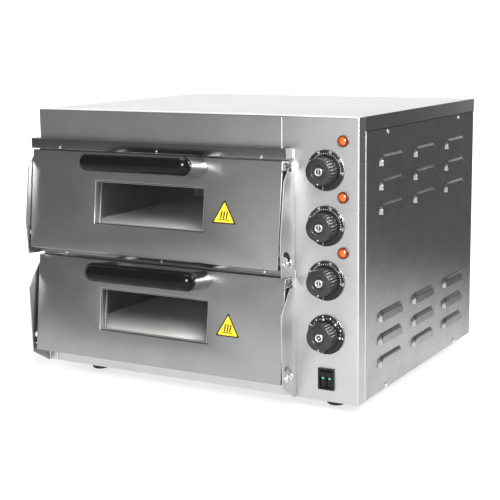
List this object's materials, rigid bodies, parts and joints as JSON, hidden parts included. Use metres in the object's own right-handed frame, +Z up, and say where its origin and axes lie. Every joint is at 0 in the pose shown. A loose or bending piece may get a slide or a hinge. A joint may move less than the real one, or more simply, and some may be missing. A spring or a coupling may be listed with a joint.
{
  "type": "countertop pizza oven",
  "caption": "Double-deck electric countertop pizza oven: stainless cabinet, two drop-down windowed doors with bar handles, stone decks, and a control column with dials, lamps and a switch.",
  "frame": {"origin": "bottom centre of the whole oven, on the surface it stands on", "axes": "+X to the right seen from the front, +Y to the back (the doors and dials face -Y), +Z up"},
  "size_m": [0.568, 0.5709, 0.4325],
  "materials": {
    "brushed_steel": "brushed, semi-mirror",
    "lid_steel": "brushed, satin",
    "door_steel": "brushed, semi-mirror",
    "rail_steel": "brushed",
    "chamber_steel": "dull aluminised sheet",
    "element_steel": "heat-tinted",
    "chrome": "bright plated",
    "handle_plastic": "high gloss black",
    "dial_plastic": "semi-matt black",
    "switch_plastic": "black",
    "foot_rubber": "matt black",
    "baking_stone": "rough cordierite stone",
    "insulation_wool": "ceramic fibre blanket",
    "door_glass": "clear tempered",
    "lamp_lens": "translucent amber",
    "control_plastic": "cream moulded"
  },
  "bodies": {
    "cabinet": {"back_panel": "brushed_steel", "base_pan": "lid_steel", "cable_gland": "switch_plastic", "control_panel": "brushed_steel", "front_left_foot": "foot_rubber", "front_right_foot": "foot_rubber", "insulation_blanket": "insulation_wool", "left_side_panel": "brushed_steel", "lid": "lid_steel", "lower_baking_stone": "baking_stone", "lower_bottom_heating_element": "element_steel", "lower_chamber": "chamber_steel", "lower_front_frame": "chamber_steel", "lower_heating_lamp": "lamp_lens", "lower_left_hinge_plate": "brushed_steel", "lower_rail": "rail_steel", "lower_right_hinge_plate": "brushed_steel", "lower_thermostat": "control_plastic", "lower_thermostat_dial_plate": "dial_plastic", "lower_top_heating_element": "element_steel", "mains_terminal_block": "control_plastic", "rear_left_foot": "foot_rubber", "rear_right_foot": "foot_rubber", "right_side_panel": "brushed_steel", "switch_housing": "switch_plastic", "timer_dial_plate": "dial_plastic", "timer_mechanism": "control_plastic", "top_fascia": "brushed_steel", "upper_baking_stone": "baking_stone", "upper_bottom_heating_element": "element_steel", "upper_bottom_heating_lamp": "lamp_lens", "upper_bottom_thermostat": "control_plastic", "upper_bottom_thermostat_dial_plate": "dial_plastic", "upper_chamber": "chamber_steel", "upper_front_frame": "chamber_steel", "upper_left_hinge_plate": "brushed_steel", "upper_rail": "rail_steel", "upper_right_hinge_plate": "brushed_steel", "upper_top_heating_element": "element_steel", "upper_top_heating_lamp": "lamp_lens", "upper_top_thermostat": "control_plastic", "upper_top_thermostat_dial_plate": "dial_plastic"},
    "upper_door": {"upper_door_skin": "door_steel", "upper_door_liner": "chamber_steel", "upper_door_glass": "door_glass", "upper_door_handle": "handle_plastic", "upper_left_pivot_screw": "chrome", "upper_right_pivot_screw": "chrome"},
    "lower_door": {"lower_door_skin": "door_steel", "lower_door_liner": "chamber_steel", "lower_door_glass": "door_glass", "lower_door_handle": "handle_plastic", "lower_left_pivot_screw": "chrome", "lower_right_pivot_screw": "chrome"},
    "upper_top_thermostat_dial": {"upper_top_thermostat_knob": "dial_plastic"},
    "upper_bottom_thermostat_dial": {"upper_bottom_thermostat_knob": "dial_plastic"},
    "lower_thermostat_dial": {"lower_thermostat_knob": "dial_plastic"},
    "timer_dial": {"timer_knob": "dial_plastic"},
    "left_rocker": {"left_switch_rocker": "switch_plastic"},
    "right_rocker": {"right_switch_rocker": "switch_plastic"}
  },
  "joints": [
    {"name": "upper_door_hinge", "type": "hinge", "parent": "cabinet", "child": "upper_door", "pos_m": [0, -0.23248, 0.2235], "axis": [1, 0, 0], "range_deg": [0, 90]},
    {"name": "lower_door_hinge", "type": "hinge", "parent": "cabinet", "child": "lower_door", "pos_m": [0, -0.23248, 0.055], "axis": [1, 0, 0], "range_deg": [0, 90]},
    {"name": "upper_top_thermostat_turn", "type": "hinge", "parent": "cabinet", "child": "upper_top_thermostat_dial", "pos_m": [0.229, -0.20048, 0.3575], "axis": [0, 1, 0], "range_deg": [0, 270]},
    {"name": "upper_bottom_thermostat_turn", "type": "hinge", "parent": "cabinet", "child": "upper_bottom_thermostat_dial", "pos_m": [0.229, -0.20048, 0.2785], "axis": [0, 1, 0], "range_deg": [0, 270]},
    {"name": "lower_thermostat_turn", "type": "hinge", "parent": "cabinet", "child": "lower_thermostat_dial", "pos_m": [0.229, -0.20048, 0.1995], "axis": [0, 1, 0], "range_deg": [0, 270]},
    {"name": "timer_turn", "type": "hinge", "parent": "cabinet", "child": "timer_dial", "pos_m": [0.229, -0.20048, 0.1205], "axis": [0, 1, 0], "range_deg": [0, 270]},
    {"name": "left_rocker_tilt", "type": "hinge", "parent": "cabinet", "child": "left_rocker", "pos_m": [0.2238, -0.19748, 0.054], "axis": [1, 0, 0], "range_deg": [-16, 0]},
    {"name": "right_rocker_tilt", "type": "hinge", "parent": "cabinet", "child": "right_rocker", "pos_m": [0.2344, -0.19748, 0.054], "axis": [1, 0, 0], "range_deg": [-16, 0]}
  ]
}
